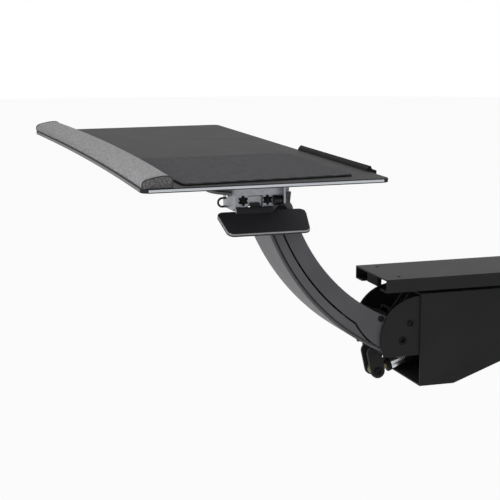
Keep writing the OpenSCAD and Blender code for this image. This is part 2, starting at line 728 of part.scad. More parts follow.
// Star shaped push nuts on the outer ends of the studs
module star_nuts() color([0.07, 0.07, 0.07]) for (y = stud_y) difference() {
  translate([side_x + side_t, y, stud_z]) rotate([0, 90, 0]) union() {
    cylinder(r = 4.6, h = 2);
    for (i = [0:5]) rotate([0, 0, i * 60]) translate([5, 0, 0]) cylinder(r = 1.5, h = 2);
  }
  rod_x([y, stud_z], 2.5 + run, side_x, side_x + side_t + 9);
}

// A hook that leads the release cable, and the ribbed boot that ends its sleeve
module cable_loop() color([0.07, 0.07, 0.07]) {
  translate(loop_p) rotate([0, 90, 0]) rotate([0, 0, 180])
    rotate_extrude(angle = 180) translate([5.6, 0]) circle(1.4);
  for (z = [-5.6, 5.6]) rod_y([loop_p[0], loop_p[2] + z], 1.4, loop_p[1], side_y0);
}

module cable_boot() color([0.05, 0.05, 0.05])
  translate([boot_p[0], boot_y, boot_p[1]]) rotate([-90, 0, 0]) rotate_extrude() {
    square([boot_r - 1, boot_l]);
    for (i = [0:2]) translate([0, 3 * i]) square([boot_r, 2]);
    translate([0, boot_l]) intersection() {
      circle(boot_r);
      square([boot_r, boot_r - 0.4]);
    }
  }

module paddle_pin() color([0.6, 0.6, 0.62]) {
  rod_y([hinge_x, hinge_z], 2, knuckle_y[0] - 0.5, knuckle_y[1] + knuckle_l + 0.5);
  rod_y([hinge_x, hinge_z], 3.2, knuckle_y[0] - pin_cap, knuckle_y[0]);
  rod_y([hinge_x, hinge_z], 3.2, knuckle_y[1] + knuckle_l, knuckle_y[1] + knuckle_l + pin_cap);
}

module release_plate() color([0.7, 0.7, 0.72]) difference() {
  box([side_x - 4.5, side_y0 + 5, side_lo + 3], [side_x - 2, side_y1 - 5, disc_lo - gap]);
  for (y = stud_y) rod_x([y, stud_z], 2.5 + run, side_x - 6, side_x);
}

// The paddle lies in a plane that falls away from its hinge
module release_paddle() color([0.08, 0.08, 0.08]) difference() {
  union() {
    rod_y([hinge_x, hinge_z], side_lo - hinge_z - gap, knuckle_y[0] + knuckle_l + gap, knuckle_y[1] - gap);
    translate([hinge_x, 0, hinge_z]) rotate([0, paddle_deg, 0]) translate([0, 0, -paddle_t / 2]) difference() {
      linear_extrude(paddle_t) round_outline([[1.5, paddle_y], [paddle_u, paddle_y + paddle_front_in],
        [paddle_u, paddle_y + paddle_l - paddle_rear_in], [1.5, paddle_y + paddle_l]], paddle_corner);
      for (y = knuckle_y)
        box([-1, y - pin_cap - 1 - gap, -1], [5.2, y + knuckle_l + pin_cap + gap, paddle_t + 1]);
    }
    box([side_x - 2 + gap, side_y0 + 21, hinge_z], [side_x + 2, side_y0 + 33, hinge_z + 11]);
  }
  rod_y([hinge_x, hinge_z], 2 + run, side_y0 - 1, side_y1 + 1);
}

// Turntable and tilt

module turntable_top() color([0.3, 0.3, 0.31]) difference() {
  union() {
    rod_z([0, turn_y], turn_r - 6, top_lo, top_lo + top_t);
    both() {
      box([ear_x + 4, turn_y - 10, top_lo + 1], [ear_x + 7, turn_y + 10, T[1]]);
      rod_x(T, 10, ear_x + 4, ear_x + 7);
    }
  }
  rod_z([0, turn_y], 8 + run, top_lo - 1, top_lo + top_t + 1);
  rod_x(T, tilt_pin_r + run, -99, 99);
}

module tilt_pin() color([0.6, 0.6, 0.62]) {
  rod_x(T, tilt_pin_r, -ear_x - 9, ear_x + 9);
  both() rod_x(T, tilt_pin_r + 2, ear_x + 7, ear_x + 9);
}

module tray_mount() color([0.3, 0.3, 0.31]) difference() {
  union() {
    translate([0, 0, tray_lo - mount_t]) round_plate(-mount_x, mount_x, mount_y[0], mount_y[1], 8, mount_t);
    both() {
      box([ear_x, turn_y - 11, T[1]], [ear_x + 3.7, turn_y + 11, tray_lo - 1]);
      rod_x(T, 11, ear_x, ear_x + 3.7);
    }
  }
  rod_x(T, tilt_pin_r + run, -99, 99);
  for (x = [-mount_sx, mount_sx], y = mount_sy) rod_z([x, y], 2.5 + run, tray_lo - mount_t - 1, tray_lo + 1);
}

module mount_screws() color([0.5, 0.5, 0.52]) for (x = [-mount_sx, mount_sx], y = mount_sy) {
  rod_z([x, y], 2.5, tray_lo - mount_t - 1, tray_hi - 1.5);
  rod_z([x, y], 4.5, tray_lo - mount_t - 2.6, tray_lo - mount_t);
}

// Tray board and what lies on it

module tray_board() color([0.13, 0.13, 0.14]) difference() {
  translate([0, 0, tray_lo])
    round_plate(-tray_w / 2, tray_w / 2, tray_y0, tray_y0 + tray_d, tray_corner, tray_t);
  translate([0, tray_y0 + tray_sag - sag_r, tray_lo - 1]) cylinder(r = sag_r, h = tray_t + 2, $fn = 720);
  for (x = [-mount_sx, mount_sx], y = mount_sy) rod_z([x, y], 2.5 + run, tray_lo - 1, tray_hi - 1);
  for (x = ledge_sx) rod_y([x, tray_lo + tray_t / 2], 1.2 + run, ledge_y - 11, ledge_y + 1);
}

// Section of the palm rest as depth and height, from the front round to the rear
palm_sec = [[0.06, 0], [0.02, 0.08], [0, 0.28], [0.01, 0.46], [0.05, 0.6], [0.13, 0.71],
  [0.27, 0.81], [0.45, 0.91], [0.63, 0.98], [0.77, 1], [0.88, 0.98], [0.95, 0.92],
  [1, 0.78], [1, 0.2], [0.98, 0.06], [0.94, 0]];
palm_x = [for (i = [0:36]) i <= 4 ? -1 + [0, 0.002, 0.008, 0.018, 0.034][i] :
  i >= 32 ? 1 - [0.034, 0.018, 0.008, 0.002, 0][i - 32] : -0.966 + 1.932 * (i - 4) / 28];
function palm_in(x) = let (e = min(1, (1 - abs(x)) / 0.03)) 0.22 * (1 - sqrt(1 - (1 - e) * (1 - e)));
module palm_rest() color([0.5, 0.49, 0.49]) {
  n = len(palm_sec);
  m = len(palm_x);
  half = tray_w / 2 - 3;
  points = [for (x = palm_x, p = palm_sec) [x * half,
    tray_y0 + 1.5 + tray_sag * (1 - x * x)
      + (palm_d + palm_belly * (1 - x * x)) * (0.5 + (p[0] - 0.5) * (1 - palm_in(x) / 2)),
    tray_hi + palm_h * p[1] * (1 - palm_in(x))]];
  faces = concat(
    [[for (j = [n - 1:-1:0]) j]],
    [[for (j = [0:n - 1]) (m - 1) * n + j]],
    [for (i = [0:m - 2], j = [0:n - 1]) [i * n + j, (i + 1) * n + (j + 1) % n, (i + 1) * n + j]],
    [for (i = [0:m - 2], j = [0:n - 1]) [i * n + j, i * n + (j + 1) % n, (i + 1) * n + (j + 1) % n]]);
  polyhedron(points, faces);
}

module mouse_pad() color([0.3, 0.3, 0.31]) difference() {
  translate([0, 0, tray_hi]) round_plate(pad_x1 - pad_w, pad_x1, pad_y0, pad_y0 + pad_d, 8, pad_t);
  translate([pad_x1, pad_y0 + 20, tray_hi - 1]) rotate([0, 0, 5]) cube([60, 400, pad_t + 2]);
}

// Section of the ledge as depth and height: a fin that leans back and a foot behind the board
ledge_sec = [[-2.5, 0], [-1.4, ledge_h / 2], [0.8, ledge_h - 0.7], [2, ledge_h], [3.3, ledge_h - 0.5],
  [4, ledge_h / 2], [5.6, 1.6], [10, 0.6], [10, -tray_t], [0, -tray_t], [0, 0]];
module rear_ledge() color([0.08, 0.08, 0.08]) difference() {
  slab([for (p = ledge_sec) [ledge_y + p[0], tray_hi + p[1]]], ledge_x1 - ledge_l, ledge_x1);
  for (x = ledge_sx) rod_y([x, tray_lo + tray_t / 2], 1.2 + run, ledge_y - 1, ledge_y + 11);
}

module ledge_screws() color([0.5, 0.5, 0.52]) for (x = ledge_sx) {
  rod_y([x, tray_lo + tray_t / 2], 1.2, ledge_y - 10, ledge_y + 11);
  rod_y([x, tray_lo + tray_t / 2], 2.3, ledge_y + 10, ledge_y + 11.4);
}

track();
track_stops();
carriage_plate();
carriage_glides();
swivel_bolt();
swivel_nut();
thrust_washer();
hinge_bracket();
spring_housing();
housing_screws();
arm_pivot_bolts();
arm_stop_screws();
lower_link_pin();
spring_anchor();
anchor_screws();
arm_channel();
arm_cover();
cover_screws();
arm_pivot_bushes();
head_pivot_bushes();
spring_lug();
lug_screws();
lug_pin();
release_cable();
cable_clips();
clip_bolts();
levelling_link();
spring_eye();
spring_collar();
spring_tube();
spring_gland();
spring_rod();
rod_end();
anchor_pin();
head_bracket();
head_pivot_pins();
upper_link_pin();
turntable_rivet();
release_bracket();
bracket_screws();
slide_studs();
star_nuts();
cable_loop();
cable_boot();
paddle_pin();
release_plate();
release_paddle();
turntable_top();
tilt_pin();
tray_mount();
mount_screws();
tray_board();
palm_rest();
mouse_pad();
rear_ledge();
ledge_screws();
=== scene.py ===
# %% [markdown]
# A board on a curved arm: how its looks are made
# The model of solids is loaded first and is never moved. Everything after that
# either gives one of those solids a finish, or models a softer and finer piece that
# stands in its place. Lengths are metres, and mm() turns millimetres into them.

# %% Load the frame
import json
import math

import bpy
from mathutils import Matrix, Vector

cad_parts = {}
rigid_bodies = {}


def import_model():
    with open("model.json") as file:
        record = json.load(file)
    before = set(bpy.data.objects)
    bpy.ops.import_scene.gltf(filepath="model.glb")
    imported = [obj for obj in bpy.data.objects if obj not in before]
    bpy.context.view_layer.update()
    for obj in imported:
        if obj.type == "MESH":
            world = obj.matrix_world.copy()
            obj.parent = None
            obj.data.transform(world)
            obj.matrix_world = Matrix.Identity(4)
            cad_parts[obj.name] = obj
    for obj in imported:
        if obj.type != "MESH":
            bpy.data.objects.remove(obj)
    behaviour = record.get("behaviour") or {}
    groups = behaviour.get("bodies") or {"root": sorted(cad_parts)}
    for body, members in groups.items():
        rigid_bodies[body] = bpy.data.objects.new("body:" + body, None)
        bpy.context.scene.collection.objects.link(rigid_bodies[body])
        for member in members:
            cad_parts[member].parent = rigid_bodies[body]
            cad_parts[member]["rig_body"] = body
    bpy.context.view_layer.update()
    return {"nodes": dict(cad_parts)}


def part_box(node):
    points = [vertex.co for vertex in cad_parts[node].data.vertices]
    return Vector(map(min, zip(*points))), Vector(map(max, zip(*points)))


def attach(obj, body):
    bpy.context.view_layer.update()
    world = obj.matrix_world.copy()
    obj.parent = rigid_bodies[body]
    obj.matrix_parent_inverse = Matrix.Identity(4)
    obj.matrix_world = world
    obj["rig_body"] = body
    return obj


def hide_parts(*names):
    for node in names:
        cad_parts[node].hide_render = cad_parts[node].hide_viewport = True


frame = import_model()
nodes = frame["nodes"]


def mm(length):
    return length / 1000


# %% [markdown]
# The view. The camera stands to the right of the board and a little in front of it,
# far away behind a long lens, so that the sides hardly converge. Its place was found by
# fitting known corners of the solids to the picture. A camera looks along its own -Z,
# so the three columns of its rotation are right, up and back.

# %% Camera
AZIMUTH, ELEVATION, ROLL = map(math.radians, (72.274, 10.337, -0.174))
FOCAL_PX, PICTURE_PX, SENSOR_MM = 1428.36, 500, 36
CAMERA_PLACE = (1.77436, -0.96577, 0.38137)
back = Vector((math.cos(ELEVATION) * math.sin(AZIMUTH),
               -math.cos(ELEVATION) * math.cos(AZIMUTH), math.sin(ELEVATION)))
level = Vector((math.cos(AZIMUTH), math.sin(AZIMUTH), 0))
upward = back.cross(level)
right = math.cos(ROLL) * level + math.sin(ROLL) * upward
upward = -math.sin(ROLL) * level + math.cos(ROLL) * upward

bpy.ops.object.select_all(action="DESELECT")
bpy.ops.object.camera_add()
camera = bpy.context.object
camera.name = "camera"
turn = Matrix((right, upward, back)).transposed().to_4x4()
camera.matrix_world = Matrix.Translation(CAMERA_PLACE) @ turn
camera.data.sensor_width = SENSOR_MM
camera.data.lens = FOCAL_PX * SENSOR_MM / PICTURE_PX
camera.data.clip_start, camera.data.clip_end = 0.05, 60
bpy.context.scene.camera = camera
bpy.context.scene.view_settings.view_transform = "Standard"
print("lens", round(camera.data.lens, 2), "mm")

# %% [markdown]
# Two small tools serve every material. Colours are written as the hex values that a
# painter would read off a screen, and Blender wants them linear. A node is added with its
# settings and its inputs in one call, where an input is either a value or another
# node's output.

# %% Colour and node tools
def linear(hex_colour):
    parts = [int(hex_colour[i:i + 2], 16) / 255 for i in (1, 3, 5)]
    return [p / 12.92 if p <= 0.04045 else ((p + 0.055) / 1.055) ** 2.4 for p in parts] + [1]


def add(tree, kind, inputs=None, **settings):
    node = tree.nodes.new("ShaderNode" + kind)
    for name, value in settings.items():
        setattr(node, name, value)
    for socket, value in (inputs or {}).items():
        if isinstance(value, bpy.types.NodeSocket):
            tree.links.new(value, node.inputs[socket])
        else:
            node.inputs[socket].default_value = value
    return node


def new_material(name):
    material = bpy.data.materials.new(name)
    material.use_nodes = True
    tree = material.node_tree
    tree.nodes.clear()
    return material, tree


def close(tree, shader):
    add(tree, "OutputMaterial", {"Surface": shader.outputs[0]})


def ramp(tree, factor, low, high, dark, light):
    node = add(tree, "ValToRGB", {"Fac": factor})
    ends = node.color_ramp.elements
    ends[0].position, ends[1].position = low, high
    ends[0].color, ends[1].color = linear(dark), linear(light)
    return node.outputs["Color"]


def band_of(tree, value, low, high):
    node = add(tree, "MapRange", {"Value": value, "To Min": low, "To Max": high})
    return node.outputs["Result"]


print("white is", linear("#ffffff"))

# %% [markdown]
# The stage. The part hangs from its track, so the floor lies well below it, low enough
# for the board to swing down. The floor shows almost white to the eye and to mirrors,
# keeps a soft shadow, and lights the part as a plain pale floor would. Its back is
# see-through, because much of this part is looked at from below. looked_at() is 1 for rays that
# come from the camera, a mirror or glass, which see a white studio whatever its light is.

# %% Floor and sky
FLOOR_Z, FLOOR_R, FLOOR_WHITE, SKY_LIGHT = -0.42, 9, 0.94, 0.4


def looked_at(tree):
    rays = add(tree, "LightPath").outputs
    seen = rays["Is Camera Ray"]
    for kind in ("Is Glossy Ray", "Is Transmission Ray"):
        seen = add(tree, "Math", {0: seen, 1: rays[kind]}, operation="MAXIMUM").outputs[0]
    return seen


bpy.ops.object.select_all(action="DESELECT")
bpy.ops.mesh.primitive_circle_add(vertices=96, radius=FLOOR_R, fill_type="NGON",
                                  location=(0, -0.2, FLOOR_Z))
floor = bpy.context.object
floor.name = "floor"
pale, tree = new_material("pale_studio_floor")
share = add(tree, "Math", {0: looked_at(tree), 1: FLOOR_WHITE}, operation="MULTIPLY")
matt = add(tree, "BsdfDiffuse", {"Color": linear("#e8e8e8")})
white = add(tree, "Emission", {"Color": (1, 1, 1, 1), "Strength": 1.0})
floor_top = add(tree, "MixShader", {0: share.outputs[0], 1: matt.outputs[0], 2: white.outputs[0]})
clear = add(tree, "BsdfTransparent")
under = add(tree, "NewGeometry").outputs["Backfacing"]
close(tree, add(tree, "MixShader", {0: under, 1: floor_top.outputs[0], 2: clear.outputs[0]}))
floor.data.materials.append(pale)

world = bpy.data.worlds.new("studio")
bpy.context.scene.world = world
world.use_nodes = True
tree = world.node_tree
tree.nodes.clear()
strength = band_of(tree, looked_at(tree), SKY_LIGHT, 1.0)
sky = add(tree, "Background", {"Color": (1, 1, 1, 1), "Strength": strength})
add(tree, "OutputWorld", {"Surface": sky.outputs[0]})
print("floor at", FLOOR_Z)

# %% [markdown]
# The light is that of a small product studio: one wide soft box above and behind the
# part, a weaker one in front and to the left, and a small one close to the head on the
# right. They are only so strong that a colour renders about as it is written.

# %% Lamps
AIM = Vector((0, -0.3, 0.05))


def soft_box(name, place, size, power):
    bpy.ops.object.select_all(action="DESELECT")
    bpy.ops.object.light_add(type="AREA", location=place)
    lamp = bpy.context.object
    lamp.name = name
    lamp.data.shape, lamp.data.size, lamp.data.energy = "DISK", size, power
    lamp.rotation_euler = (AIM - Vector(place)).to_track_quat("-Z", "Y").to_euler()
    return lamp


soft_box("box_above", (-0.3, 0.5, 2.4), 1.8, 10)
soft_box("box_front_left", (-0.9, -2.3, 1.2), 1.4, 2.4)
soft_box("box_right_front", (0.85, -1.4, 0.35), 0.9, 5.5)

# %% [markdown]
# Finishes of the metal. Powder coat is paint that was baked from dust: matt, with a fine
# orange peel. Its grain is about 0.3 mm on the real thing and is drawn some five times
# coarser, or it would not show. The coat is a little thinner, so a little lighter, where
# the cloud-like noise is high.

# %% Powder coats
def powder_coat(name, colour, worn, rough=0.5, ior=1.45, grain_mm=1.6):
    material, tree = new_material(name)
    place = add(tree, "TexCoord").outputs["Object"]
    peel = add(tree, "TexNoise", {"Vector": place, "Scale": 1 / mm(grain_mm), "Detail": 2})
    cloud = add(tree, "TexNoise", {"Vector": place, "Scale": 1 / mm(60), "Detail": 3})
    shade = ramp(tree, cloud.outputs["Fac"], 0.3, 0.75, colour, worn)
    bump = add(tree, "Bump", {"Height": peel.outputs["Fac"], "Strength": 0.12, "Distance": mm(0.3)})
    close(tree, add(tree, "BsdfPrincipled", {
        "Base Color": shade, "Roughness": band_of(tree, peel.outputs["Fac"], rough - 0.06, rough + 0.08),
        "IOR": ior, "Normal": bump.outputs["Normal"]}))
    return material


arm_coat = powder_coat("graphite_powder_coat", "#56565a", "#626266", 0.5, 1.4)
cover_coat = powder_coat("graphite_powder_coat_cover", "#5d5d60", "#69696d", 0.5, 1.4)
hinge_coat = powder_coat("black_powder_coat", "#1f1f20", "#272728", 0.55, 1.26)
track_coat = powder_coat("black_powder_coat_track", "#232324", "#2c2c2d", 0.55, 1.26)
print("coats:", arm_coat.name, hinge_coat.name)

# %% [markdown]
# Bare metals. Zinc plate is a bright grey with a faint spangle, chrome on the spring's
# tube is a clean mirror with drawing lines along it, and the eyes of the spring are
# passivated to a brassy yellow. A metal's colour is its reflection, so the base colour is
# light and the roughness does most of the work.

# %% Plated metals
def plated(name, colour, tint, rough, grain_mm=4, stretch=(1, 1, 1)):
    material, tree = new_material(name)
    place = add(tree, "TexCoord").outputs["Object"]
    scaled = add(tree, "Mapping", {"Vector": place, "Scale": [s / mm(grain_mm) for s in stretch]})
    spangle = add(tree, "TexNoise", {"Vector": scaled.outputs[0], "Scale": 1, "Detail": 4})
    bump = add(tree, "Bump", {"Height": spangle.outputs["Fac"], "Strength": 0.08, "Distance": mm(0.1)})
    close(tree, add(tree, "BsdfPrincipled", {
        "Base Color": ramp(tree, spangle.outputs["Fac"], 0.35, 0.7, colour, tint), "Metallic": 1.0,
        "Roughness": band_of(tree, spangle.outputs["Fac"], rough - 0.08, rough + 0.1),
        "Normal": bump.outputs["Normal"]}))
    return material


zinc = plated("zinc_plated_steel", "#8e8f95", "#a4a5aa", 0.42)
# partly painted highlight: this near white zinc stands for a highlight on the bracket screws, and is the
# own polish of the spring rod
bright_zinc_and_highlight = plated("bright_zinc_and_painted_highlight", "#e4e5e7", "#f3f3f5", 0.24)
chrome = plated("chrome_plated_tube", "#c9cacc", "#d6d7d9", 0.26, 20, (1, 0.1, 0.1))
yellow_zinc = plated("yellow_passivated_zinc", "#6d654a", "#857c5e", 0.45)
black_oxide = plated("black_oxide_steel", "#19191a", "#242425", 0.45, 2)
print("metals:", zinc.name, chrome.name)

# %% [markdown]
# Plastics. Nylon of the bushes and glides is milky and a little waxy. The moulded pieces
# of ABS are black with the fine leathery texture of their mould. The paddle's copy of that black is drawn
# lighter, as painted reflection, and its outer rim light grey, as a painted highlight. The near black in
# the groove of the arm's joint line hardly mirrors anything: it is painted shade.

# %% Plastics
def moulded(name, colour, lighter, rough, grain_mm, depth, ior=1.5):
    material, tree = new_material(name)
    place = add(tree, "TexCoord").outputs["Object"]
    skin = add(tree, "TexVoronoi", {"Vector": place, "Scale": 1 / mm(grain_mm)})
    cloud = add(tree, "TexNoise", {"Vector": place, "Scale": 1 / mm(40), "Detail": 2})
    bump = add(tree, "Bump", {"Height": skin.outputs["Distance"], "Strength": depth, "Distance": mm(0.15)})
    close(tree, add(tree, "BsdfPrincipled", {
        "Base Color": ramp(tree, cloud.outputs["Fac"], 0.3, 0.7, colour, lighter), "IOR": ior,
        "Roughness": band_of(tree, cloud.outputs["Fac"], rough - 0.05, rough + 0.05),
        "Normal": bump.outputs["Normal"]}))
    return material


nylon = moulded("natural_nylon", "#cfcdc4", "#d8d6ce", 0.45, 1.5, 0.05, 1.53)
black_abs = moulded("moulded_black_abs", "#131315", "#1a1a1c", 0.7, 1.2, 0.1, 1.22)
# painted reflection: the paddle's black is drawn lighter than the other black ABS; next, its rim gets a
# light grey painted highlight
paddle_abs_painted_lighter = moulded("black_abs_paddle_painted_reflection", "#3e3e42", "#454549", 0.75, 1.2, 0.1, 1.2)
rim_painted_highlight = moulded("black_abs_rim_painted_highlight", "#b4b4b7", "#c6c6c9", 0.35, 1.2, 0.05)
black_pvc = moulded("black_pvc_sheath", "#121213", "#19191a", 0.4, 1.5, 0.05)
# painted shade: near black for the faces inside the arm cover's groove
painted_shade_groove = moulded("groove_painted_shade", "#0d0d0e", "#121213", 0.9, 0.9, 0.1, 1.05)
print("plastics:", nylon.name, black_abs.name, black_pvc.name)

# %% [markdown]
# The board is laminate, the pad and the palm rest are cloth. High-pressure laminate is a matt black
# with a fine pebble, which still mirrors the sky at a flat angle. The board's edge band is one moulding,
# drawn in two copies: a light grey brushed one along the straight sides, a painted reflection, and a
# darker satin one in front, painted shade. The pad's top is a close plain weave of polyester: the
# threads are 0.5 mm apart on the real one and are drawn 1.6 mm apart, or they would not show. The palm
# rest wears a jersey of light and dark yarns, whose flecks are drawn 1.7 mm wide for the same reason,
# and a darker copy of it on the end caps is painted shade. A wave texture of scale 1 repeats every 0.314.

# %% Laminate, edge band and woven cloth
WAVE_REPEAT = 0.314


def woven(name, dark, light, thread_mm, rough):
    material, tree = new_material(name)
    place = add(tree, "TexCoord").outputs["Object"]
    threads = {"Vector": place, "Scale": WAVE_REPEAT / mm(thread_mm), "Distortion": 0.6}
    warp, weft = (add(tree, "TexWave", threads, bands_direction=way).outputs["Fac"] for way in "XY")
    cross = add(tree, "Math", {0: warp, 1: weft}, operation="MULTIPLY")
    lint = add(tree, "TexNoise", {"Vector": place, "Scale": 1 / mm(9), "Detail": 5, "Roughness": 0.7})
    mixed = add(tree, "Math", {0: cross.outputs[0], 1: lint.outputs["Fac"]}, operation="MULTIPLY")
    bump = add(tree, "Bump", {"Height": cross.outputs[0], "Strength": 0.35, "Distance": mm(0.3)})
    close(tree, add(tree, "BsdfPrincipled", {
        "Base Color": ramp(tree, mixed.outputs[0], 0.05, 0.4, dark, light), "Roughness": rough,
        "IOR": 1.3, "Normal": bump.outputs["Normal"]}))
    return material


def speckled(name, dark, light, fleck_mm):
    material, tree = new_material(name)
    place = add(tree, "TexCoord").outputs["Object"]
    flecks = add(tree, "TexVoronoi", {"Vector": place, "Scale": 1 / mm(fleck_mm)}, feature="F1")
    tone = add(tree, "SeparateColor", {"Color": flecks.outputs["Color"]})
    knit = add(tree, "TexNoise", {"Vector": place, "Scale": 1 / mm(1.2), "Detail": 3})
    bump = add(tree, "Bump", {"Height": knit.outputs["Fac"], "Strength": 0.3, "Distance": mm(0.4)})
    close(tree, add(tree, "BsdfPrincipled", {
        "Base Color": ramp(tree, tone.outputs[0], 0.0, 1.0, dark, light), "Roughness": 0.8,
        "Sheen Weight": 0.15, "Sheen Roughness": 0.5, "IOR": 1.4, "Normal": bump.outputs["Normal"]}))
    return material


speckled_jersey = speckled("speckled_grey_jersey", "#7b7a7c", "#acaaac", 1.7)
# painted shade: a darker copy of the jersey for the end caps, the sides that face away from the light
shaded_cap_jersey = speckled("speckled_jersey_cap_painted_shade", "#4b4a4b", "#767476", 1.7)
laminate = moulded("matt_black_laminate", "#1b1b1d", "#212123", 0.6, 1.4, 0.05, 1.27)
# painted light: the one edge band is drawn as a light copy, a painted reflection, and a darker front copy,
# painted shade
painted_reflection_band = plated("edge_band_painted_reflection", "#b4b7bc", "#c8cbd0", 0.4, 6, (1, 0.15, 4))
painted_shade_front_band = moulded("edge_band_painted_shade_front", "#5a5b5e", "#66676a", 0.45, 1.5, 0.05)
pad_cloth = woven("polyester_pad_cloth", "#303032", "#77777b", 1.6, 0.9)
foam_rubber = moulded("black_foam_rubber", "#19191a", "#202021", 0.75, 0.9, 0.2)
print("soft finishes:", laminate.name, pad_cloth.name)

# %% [markdown]
# Tools for modelling. An operator acts on whatever is selected, so only() selects one piece
# and nothing else. apply() adds a modifier and makes it part of the mesh. In edit mode,
# select_edges() selects the edges whose two ends pass a test. stand_for() hangs a finished piece on
# the body of the solid that it takes the place of.

# %% Modelling tools
SMOOTH, SHARP = math.radians(42), math.radians(38)
shown = dict(nodes)


def only(piece):
    bpy.ops.object.select_all(action="DESELECT")
    piece.select_set(True)
    bpy.context.view_layer.objects.active = piece


def apply(piece, kind, **settings):
    only(piece)
    modifier = piece.modifiers.new(kind.title(), kind)
    for name, value in settings.items():
        setattr(modifier, name, value)
    bpy.ops.object.modifier_apply(modifier=modifier.name)


def select_edges(piece, chosen):
    bpy.ops.mesh.select_all(action="DESELECT")
    bpy.ops.object.mode_set(mode="OBJECT")
    points = piece.data.vertices
    for edge in piece.data.edges:
        edge.select = chosen(*(points[i].co for i in edge.vertices))
    bpy.ops.object.mode_set(mode="EDIT")


def round_edges(piece, width_mm, segments=3):
    only(piece)
    bpy.ops.object.shade_smooth_by_angle(angle=SMOOTH)
    apply(piece, "BEVEL", limit_method="ANGLE", angle_limit=SHARP, width=mm(width_mm),
          segments=segments, harden_normals=True)


def stand_for(piece, name):
    piece.name = name + "_dressed"
    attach(piece, nodes[name]["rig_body"])
    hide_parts(name)
    shown[name] = piece
    return piece


print("smooth below", round(math.degrees(SMOOTH)), "degrees")

# %% [markdown]
# No real edge is as sharp as a solid's. Pressed steel has a burr that was tumbled off, paint
# pulls back from a corner, and a mould has a small radius everywhere. soften() copies a
# solid's mesh with its loose triangles welded into whole faces, and rolls every sharp edge over by
# the radius that the process leaves. The thin lights along those edges are what makes dark
# pieces readable.

# %% Soften the edges of the rigid pieces
WELD, FLAT = mm(0.005), math.radians(0.5)


def weld(name):
    piece = bpy.data.objects.new(name, nodes[name].data.copy())
    bpy.context.scene.collection.objects.link(piece)
    only(piece)
    bpy.ops.object.mode_set(mode="EDIT")
    bpy.ops.mesh.select_all(action="SELECT")
    bpy.ops.mesh.remove_doubles(threshold=WELD)
    bpy.ops.mesh.dissolve_limited(angle_limit=FLAT)
    bpy.ops.object.mode_set(mode="OBJECT")
    return piece


def soften(name, width_mm):
    piece = weld(name)
    round_edges(piece, width_mm, 2)
    return stand_for(piece, name)


EDGE_RADIUS = {
    "arm_grey": {"arm_channel": 0.7, "arm_cover": 0.9, "head_bracket": 0.7},
    "black_steel": {"hinge_bracket": 0.7, "spring_housing": 1.0, "spring_lug": 0.8},
    "dark_steel": {"turntable_top": 0.6, "tray_mount": 0.6},
    "zinc": {"release_bracket": 0.5, "release_plate": 0.4, "carriage_plate": 0.6},
    "black_plastic": {"rear_ledge": 0.8, "star_nuts": 0.4},
    "track": {"track": 0.6},
}
for slot, pieces in EDGE_RADIUS.items():
    for name, width_mm in pieces.items():
        piece = soften(name, width_mm)
        print(name, len(piece.data.polygons), "faces")

# %% [markdown]
# The bolts that show from the side have a socket in their head. Their end faces are inset to
# leave a ring, and the inner face is pushed in.

# %% Sockets of the bolts
def socket(name, slot, ring_mm, depth_mm):
    piece = soften(name, 0.3)
    reach = max(abs(v.co.x) for v in piece.data.vertices)
    only(piece)
    bpy.ops.object.mode_set(mode="EDIT")
    bpy.ops.mesh.select_mode(type="FACE")
    bpy.ops.mesh.select_all(action="DESELECT")
    bpy.ops.object.mode_set(mode="OBJECT")
    for face in piece.data.polygons:
        face.select = abs(face.normal.x) > 0.99 and abs(face.center.x) > reach - mm(0.1)
    bpy.ops.object.mode_set(mode="EDIT")
    bpy.ops.mesh.inset(use_individual=True, thickness=mm(ring_mm))
    bpy.ops.mesh.inset(use_individual=True, thickness=mm(0.1), depth=mm(-depth_mm))
    bpy.ops.object.mode_set(mode="OBJECT")
    sunk = [face for face in piece.data.polygons if face.select]
    radius = min(math.sqrt(face.area / math.pi) for face in sunk)
    print(name, len(sunk), "sockets of", round(radius * 1000, 2), "mm radius")


socket("arm_stop_screws", "dark_steel", 1.4, 1.2)
socket("clip_bolts", "dark_steel", 1.4, 0.8)
socket("lug_pin", "dark_steel", 1.8, 1.0)

# %% [markdown]
# The paddle is a moulded plate that slopes outwards, with a generous round along its upper rim. A
# bevel of all its edges would be held back by the narrow notches at the hinge, so the edges of the
# upper outline are selected by their height above the plate's middle and rounded on their own.

# %% Round the rim of the paddle
SLOPE, PLATE_MM, RIM_MM, ROOT_MM = math.radians(24), 4, 1.8, 8
upper = Vector((math.sin(SLOPE), 0, math.cos(SLOPE)))
outer = Vector((math.cos(SLOPE), 0, -math.sin(SLOPE)))


def middle_mm(name):
    low, high = map(Vector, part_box(name))
    return (low + high) * 500


def on_rim(*ends):
    flush = all(abs((p * 1000 - barrel).dot(upper) - PLATE_MM / 2) < 0.05 for p in ends)
    return flush and max(p.x * 1000 for p in ends) > barrel.x + ROOT_MM


barrel = middle_mm("paddle_pin")
paddle = weld("release_paddle")
bpy.ops.object.mode_set(mode="EDIT")
bpy.ops.mesh.select_mode(type="EDGE")
select_edges(paddle, on_rim)
bpy.ops.mesh.bevel(offset=mm(RIM_MM), segments=3, affect="EDGES", clamp_overlap=False)
bpy.ops.object.mode_set(mode="OBJECT")
round_edges(paddle, 0.4, 2)
stand_for(paddle, "release_paddle")
print("paddle", len(paddle.data.polygons), "faces")

# %% [markdown]
# A few faces of those pieces have another finish than the rest, and are found by where they lie, in
# millimetres. All three are painted light. Of the two dark lines along the arm's side, the inner one is an
# open gap under the cover, and the outer one is a groove whose faces are drawn near black, as painted
# shade.
# The arm's curve passes both of its pivots, so its centre follows from them and its radius, and the
# groove's faces are those at the right distance from it. The hinge barrels of the release bracket are
# drawn black, as painted shade between bracket and paddle, and the paddle's outer rim light grey, as a
# painted highlight.

